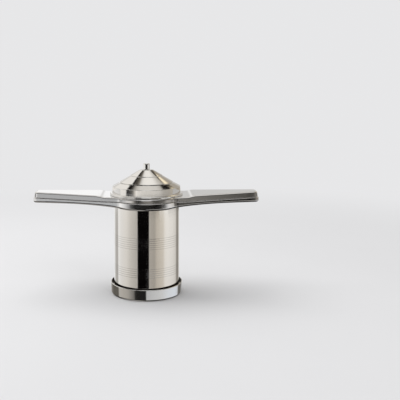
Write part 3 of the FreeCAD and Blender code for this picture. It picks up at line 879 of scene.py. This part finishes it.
# The bottoms of the barrel's grooves are darkened with painted shade
barrel_steel = steel(
    "barrel_steel",
    TURNED_STEEL,
    0.07,
    turned_lines=0.5,
    soil=0.06,
    haze=0.03,
    darkened_where=painted_groove_shade,
)
barrel_wall = [(BARREL_RADIUS, BARREL_FOOT, 0.3)]
for lowest, count in GROOVE_BANDS:
    for k in range(count):
        middle = lowest + k * GROOVE_PITCH
        barrel_wall += [
            (BARREL_RADIUS, middle - GROOVE_HALF_WIDTH, 0.6),
            (BARREL_RADIUS - GROOVE_DEPTH, middle, 0.6),
            (BARREL_RADIUS, middle + GROOVE_HALF_WIDTH, 0.6),
        ]
barrel_wall += [
    (BARREL_RADIUS, BARREL_TOP - 0.02, 0.3),
    (BARREL_BORE, BARREL_TOP - 0.02, 0.3),
    (BARREL_BORE, BARREL_FOOT, 0.2),
]
finish_piece(
    "barrel_polished",
    *turned(soft_outline(barrel_wall, steps=4)),
    barrel_steel,
    "barrel",
    ["barrel_tube"],
    "turned_steel",
)

# ---------------------------------------------------------------- threaded collar
# A short steel ring brazed round the barrel's foot, inside the cap. A coarse thread cut on it carries the
# cap, which draws the jali up against the barrel.

COLLAR_RADIUS = 34.0
COLLAR_FOOT = 3.2
COLLAR_TOP = 8.2
collar_outline = soft_outline([
    (BARREL_RADIUS, COLLAR_FOOT),
    (COLLAR_RADIUS, COLLAR_FOOT, 0.5),
    (COLLAR_RADIUS, COLLAR_TOP, 0.5),
    (BARREL_RADIUS, COLLAR_TOP),
])
collar_thread = thread_ridge(COLLAR_RADIUS - 0.02, COLLAR_RADIUS + 0.25, 4.0, 7.4, math.pi)
finish_piece(
    "collar_threaded",
    *join(turned(collar_outline), collar_thread),
    turned_steel,
    "barrel",
    ["barrel_thread_collar"],
    "turned_steel",
)

# ---------------------------------------------------------------- barrel handle
# Two steel pressings: a tray, deep at its round hub and slim along its climbing arms, and a flat lid let
# into its rim. The barrel is pressed through both and brazed. The brushing runs along the arms.

ARM_HALF_LENGTH = 110.1
ARM_END_HALF_WIDTH = 9.5
ARM_TAPER = math.radians(10.8)
ARM_CORNER = 5.0
HUB_RADIUS = 37.0
HUB_BLEND = 12.0
# Where the columns of points stand along an arm's straight side, close together beside the hub
SIDE_PLACES = [98, 91, 84, 77, 70, 64, 58, 53] + [50 - 0.8 * k for k in range(17)] + [36, 34.5, 32.45]
LEVEL_END = 37.4
ARM_BEND_RUN = 8.0
ARM_SLOPE = math.radians(1.75)
TRAY_TOP = 93.7
TRAY_MARGIN = 1.0
TRAY_EDGE = 2.0
TRAY_LIP = 0.5
TRAY_DRAFT = (1.75, 2.85)
DRAFT_CHANGES = 24.0
DRAFT_CHANGE_RUN = 3.0
BARREL_HOLE = 32.45
LID_SHEET = 1.0
BELLY_DEPTH = 6.6
BELLY_RISE = 4.1
BELLY_HUB_END = 14.0
BELLY_TURN_END = 24.0
BELLY_ARM_START = 80.0
PRESSED_STEEL = (0.73, 0.72, 0.71)


def handle_plan():
    """The handle's plan as a ring of points, each with the way outwards."""
    lean, level = math.sin(ARM_TAPER), math.cos(ARM_TAPER)
    offset = ARM_END_HALF_WIDTH * level + ARM_HALF_LENGTH * lean
    corner_x = ARM_HALF_LENGTH - ARM_CORNER
    corner_y = (offset - ARM_CORNER - lean * corner_x) / level
    reach = math.sqrt((HUB_RADIUS + HUB_BLEND) ** 2 - (offset + HUB_BLEND) ** 2)
    blend_x = (offset + HUB_BLEND) * lean + reach * level
    blend_y = (offset + HUB_BLEND) * level - reach * lean
    hub_start = math.atan2(blend_y, blend_x)

    def arc(centre_x, centre_y, radius, start, end, steps, hollow=False):
        side = -1 if hollow else 1
        for k in range(steps + 1):
            angle = start + (end - start) * k / steps
            way_x, way_y = math.cos(angle), math.sin(angle)
            yield centre_x + radius * way_x, centre_y + radius * way_y, side * way_x, side * way_y

    quarter = [(ARM_HALF_LENGTH, corner_y * k / 3, 1.0, 0.0) for k in range(3)]
    quarter += arc(corner_x, corner_y, ARM_CORNER, 0.0, math.pi / 2 - ARM_TAPER, 10)
    quarter += [(x, (offset - lean * x) / level, lean, level) for x in SIDE_PLACES]
    blend_start, blend_end = -math.pi / 2 - ARM_TAPER, hub_start - math.pi
    quarter += arc(blend_x, blend_y, HUB_BLEND, blend_start, blend_end, 12, hollow=True)
    quarter += list(arc(0.0, 0.0, HUB_RADIUS, hub_start, math.pi / 2, 24))[1:]
    half = quarter + [(-x, y, -way_x, way_y) for x, y, way_x, way_y in reversed(quarter[:-1])]
    return half + [(x, -y, way_x, -way_y) for x, y, way_x, way_y in reversed(half[1:-1])]


def arm_climb(x):
    """How far the arms have climbed at x: level over the hub, a gentle bend, then straight."""
    run = max(0.0, abs(x) - LEVEL_END)
    if run < ARM_BEND_RUN:
        radius = ARM_BEND_RUN / math.sin(ARM_SLOPE)
        return radius - math.sqrt(radius ** 2 - run ** 2)
    return ARM_BEND_RUN * math.tan(ARM_SLOPE / 2) + (run - ARM_BEND_RUN) * math.tan(ARM_SLOPE)


def tray_rim(x):
    return TRAY_TOP + arm_climb(x)


def tray_belly(x):
    """The tray's underside: deep at the hub, led out to the slim, level arms in two arcs."""
    run = min(abs(x), BELLY_ARM_START)
    turn_run, sweep_run = BELLY_TURN_END - BELLY_HUB_END, BELLY_ARM_START - BELLY_TURN_END
    turn_rise = BELLY_RISE * turn_run / (turn_run + sweep_run)
    deep = TRAY_TOP - BELLY_DEPTH
    if run < BELLY_HUB_END:
        return deep
    if run < BELLY_TURN_END:
        radius = (turn_run ** 2 + turn_rise ** 2) / (2 * turn_rise)
        return deep + radius - math.sqrt(radius ** 2 - (run - BELLY_HUB_END) ** 2)
    sweep_rise = BELLY_RISE - turn_rise
    radius = (sweep_run ** 2 + sweep_rise ** 2) / (2 * sweep_rise)
    return deep + BELLY_RISE - radius + math.sqrt(radius ** 2 - (BELLY_ARM_START - run) ** 2)


def drafted(x, drafts, height):
    """How far a pressed wall of that height leans in: its draft in degrees is one round the hub and another
    along the arms."""
    share = min(1.0, max(0.0, (abs(x) - DRAFT_CHANGES) / DRAFT_CHANGE_RUN))
    return height * math.tan(math.radians(drafts[0] + (drafts[1] - drafts[0]) * share))


def flat_rows(column):
    """Rows of a column whose points share one height: those of its closed underside and top."""
    return [k for k in range(len(column) - 1) if abs(column[k][2] - column[k + 1][2]) < 1e-6]


def pressing(foot, top, section, hole, bottom=True, cover=True):
    """A pressed handle between two heights that vary with x. Its section gives the corners of the upright
    outline, (distance outside the plan, height, radius), from the underside to the top; both are closed
    inwards to the hole round the barrel's axis."""
    columns = []
    for x, y, way_x, way_y in handle_plan():
        low, high = foot(x), top(x)
        column = []
        for outwards, height in soft_outline(section(x, low, high)):
            moved = x + outwards * way_x
            share = (height - low) / (high - low)
            height += (foot(moved) - low) * (1 - share) + (top(moved) - high) * share
            column.append((moved, y + outwards * way_y, height))
        for end, wanted in ((0, bottom), (-1, cover)):
            px, py, pz = column[end]
            inner = math.copysign(math.sqrt(max(0.0, hole ** 2 - px ** 2)), py)
            inwards = [(px, py + (inner - py) * part, pz) for part in (0.02, 1.0)] if wanted else []
            column = inwards[::-1] + column if end == 0 else column + inwards
        columns.append(column)
    vertices, numbers, faces = [], {}, []
    for column in columns:
        for point in column:
            key = tuple(round(c, 4) for c in point)
            if key not in numbers:
                numbers[key] = len(vertices)
                vertices.append(point)
    for column, after in zip(columns, columns[1:] + columns[:1]):
        for k in range(len(column) - 1):
            loop = (column[k], after[k], after[k + 1], column[k + 1])
            places = [point[0] for point in loop]
            if max(places) - min(places) < 1e-6 and k in flat_rows(column):
                continue
            corners = [numbers[tuple(round(c, 4) for c in point)] for point in loop]
            face = [v for i, v in enumerate(corners) if v not in corners[:i]]
            if len(face) > 2:
                faces.append(face)
    return vertices, faces


def tray_section(x, low, high):
    lean = drafted(x, TRAY_DRAFT, high - low)
    return [
        (-2.9, low),
        (TRAY_MARGIN, low, TRAY_EDGE),
        (TRAY_MARGIN - lean, high, TRAY_LIP),
        (0.0, high, 0.1),
        (0.0, high - 1.2),
    ]


pressed_steel = steel("pressed_steel", PRESSED_STEEL, 0.055, grain=(60, 2600, 2600), soil=0.08, haze=0.01)
finish_piece(
    "barrel_handle_pressed_tray",
    *pressing(tray_belly, tray_rim, tray_section, BARREL_HOLE, cover=False),
    pressed_steel,
    "barrel",
    ["barrel_handle_tray"],
    "pressed_steel",
)
finish_piece(
    "barrel_handle_pressed_lid",
    *pressing(
        lambda x: tray_rim(x) - LID_SHEET,
        tray_rim,
        lambda x, low, high: [(-0.05, low), (-0.05, high, 0.1), (-0.4, high)],
        BARREL_HOLE,
    ),
    pressed_steel,
    "barrel",
    ["barrel_handle_lid"],
    "pressed_steel",
)

# ---------------------------------------------------------------- plunger tube and its base
# The plunger is a thin tube, turned to slide in the barrel, closed at its foot by a flat disc that
# pushes the dough. A flange at its top holds it in the handle.

dress("plunger_tube", turned_steel)
dress("plunger_base", turned_steel)

# ---------------------------------------------------------------- plunger handle
# The upper handle is a shallow pressed cover with its walls turned down, and a flat plate let in from
# below. Beside the dome's level seat each arm steps up, and climbs like the lower handle's.

SHELL_TOP = 98.0
SHELL_DEPTH = 4.0
SHELL_EDGE = 1.5
SHELL_SHEET = 1.0
SHELL_DRAFT = (6.05, 7.95)
PLATE_SHEET = 1.0
PLUNGER_HOLE = 31.0
STEP_RADIUS = 25.0
STEP_ANGLE = math.radians(14)


def shell_top(x):
    """Level under the dome, then up a step of two arcs, then straight."""
    run = max(0.0, abs(x) - LEVEL_END)
    first = STEP_RADIUS * math.sin(STEP_ANGLE)
    whole = 2 * first - STEP_RADIUS * math.sin(ARM_SLOPE)
    centre = STEP_RADIUS * (1 - 2 * math.cos(STEP_ANGLE))
    if run < first:
        return SHELL_TOP + STEP_RADIUS - math.sqrt(STEP_RADIUS ** 2 - run ** 2)
    if run < whole:
        return SHELL_TOP + centre + math.sqrt(STEP_RADIUS ** 2 - (2 * first - run) ** 2)
    return SHELL_TOP + centre + STEP_RADIUS * math.cos(ARM_SLOPE) + (run - whole) * math.tan(ARM_SLOPE)


def shell_foot(x):
    return SHELL_TOP - SHELL_DEPTH + arm_climb(x)


def shell_section(x, low, high):
    lean = drafted(x, SHELL_DRAFT, high - low)
    return [
        (-SHELL_SHEET, low + 1.2),
        (-SHELL_SHEET, low, 0.1),
        (0.0, low, 0.25),
        (-lean, high, SHELL_EDGE),
        (-3.0, high),
    ]


finish_piece(
    "plunger_handle_pressed_shell",
    *pressing(shell_foot, shell_top, shell_section, PLUNGER_HOLE, bottom=False),
    pressed_steel,
    "plunger",
    ["plunger_handle_shell"],
    "pressed_steel",
)
finish_piece(
    "plunger_handle_flat_plate",
    *pressing(
        shell_foot,
        lambda x: shell_foot(x) + PLATE_SHEET,
        lambda x, low, high: [(-1.05, low), (-1.05, high)],
        PLUNGER_HOLE,
    ),
    pressed_steel,
    "plunger",
    ["plunger_handle_plate"],
    "pressed_steel",
)

# ---------------------------------------------------------------- dome
# A cover spun from sheet in three stepped tiers over a skirt that is a little wider at its foot, where it
# is rolled over the plunger's flange into a small bead. It carries the knob.

DOME_SEAT = 98.0
BEAD_RADIUS = 36.2
BEAD_HEIGHT = 1.95
SKIRT_RADIUS = 33.5
SKIRT_FOOT_RADIUS = 33.91
SKIRT_HEIGHT = 8.35
MIDDLE_TIER = 26.2
UPPER_TIER = 15.8
CROWN_RADIUS = 6.6
TIER_STEP = 0.4
TIER_STEP_RISE = 0.6
BEAD_BORE = 35.3
BEAD_BORE_TOP = 1.1
DOME_SHEET = 0.8
SCREW_BORE = 2.1
LOWER_SLOPE = math.tan(math.radians(28))
UPPER_SLOPE = math.tan(math.radians(30))

lower_end = SKIRT_HEIGHT + (SKIRT_RADIUS - MIDDLE_TIER - TIER_STEP) * LOWER_SLOPE
middle_start = lower_end + TIER_STEP_RISE
middle_end = middle_start + (MIDDLE_TIER - UPPER_TIER - TIER_STEP) * UPPER_SLOPE
upper_start = middle_end + TIER_STEP_RISE
crown = upper_start + (UPPER_TIER - CROWN_RADIUS) * UPPER_SLOPE
dome_outline = soft_outline([
    (BEAD_BORE, 0.0, 0.3),
    (BEAD_RADIUS, 0.0, 0.8),
    (BEAD_RADIUS, BEAD_HEIGHT, 0.9),
    (SKIRT_FOOT_RADIUS, BEAD_HEIGHT, 0.4),
    (SKIRT_RADIUS, SKIRT_HEIGHT, 0.5),
    (MIDDLE_TIER + 1.0, lower_end - 0.6 * LOWER_SLOPE, 0.04),
    (MIDDLE_TIER - 0.1, lower_end - 0.3, 0.03),
    (MIDDLE_TIER + 0.1, middle_start - 0.1 * UPPER_SLOPE, 0.08),
    (UPPER_TIER + 0.5, middle_end - 0.1 * UPPER_SLOPE, 0.03),
    (UPPER_TIER + 0.05, middle_end - 0.05, 0.03),
    (UPPER_TIER + 0.12, upper_start - 0.12 * UPPER_SLOPE, 0.12),
    (CROWN_RADIUS, crown, 0.5),
    (SCREW_BORE, crown),
    (SCREW_BORE, crown - DOME_SHEET),
    (CROWN_RADIUS, crown - DOME_SHEET),
    (UPPER_TIER - 0.4, upper_start - 1.0),
    (SKIRT_RADIUS - 1.2, SKIRT_HEIGHT - 1.0),
    (SKIRT_RADIUS - 0.9, BEAD_BORE_TOP),
    (BEAD_BORE, BEAD_BORE_TOP),
])
dome_outline = [(radius, height + DOME_SEAT) for radius, height in dome_outline]
finish_piece("dome_spun", *turned(dome_outline), spun_steel, "plunger", ["dome"], "spun_steel")

# ---------------------------------------------------------------- knob and its screw
# A little turned knob, bright and slightly domed on top, drawn down on the dome's crown by a pan screw
# and washer from inside.

KNOB_RADIUS = 3.2
KNOB_FOOT_RADIUS = 3.08
KNOB_FOOT = 122.30
KNOB_TOP = 128.60
KNOB_CROWN = 1.7
KNOB_SEGMENTS = 96
FASTENER_STEEL = (0.60, 0.59, 0.57)

knob_outline = soft_outline([
    (SCREW_BORE, KNOB_FOOT),
    (KNOB_FOOT_RADIUS, KNOB_FOOT, 0.25),
    (KNOB_RADIUS, KNOB_TOP - 0.12, 0.45),
    (0.0, KNOB_TOP - 0.005),
    (0.0, KNOB_TOP - KNOB_CROWN),
    (SCREW_BORE, KNOB_TOP - KNOB_CROWN),
])
finish_piece(
    "knob_turned",
    *turned(knob_outline, KNOB_SEGMENTS),
    turned_steel,
    "plunger",
    ["knob"],
    "turned_steel",
)
fastener_steel = steel("fastener_steel", FASTENER_STEEL, 0.26, turned_lines=1.2, soil=0.3)
dress("screw_washer", fastener_steel)
dress("knob_screw", fastener_steel)
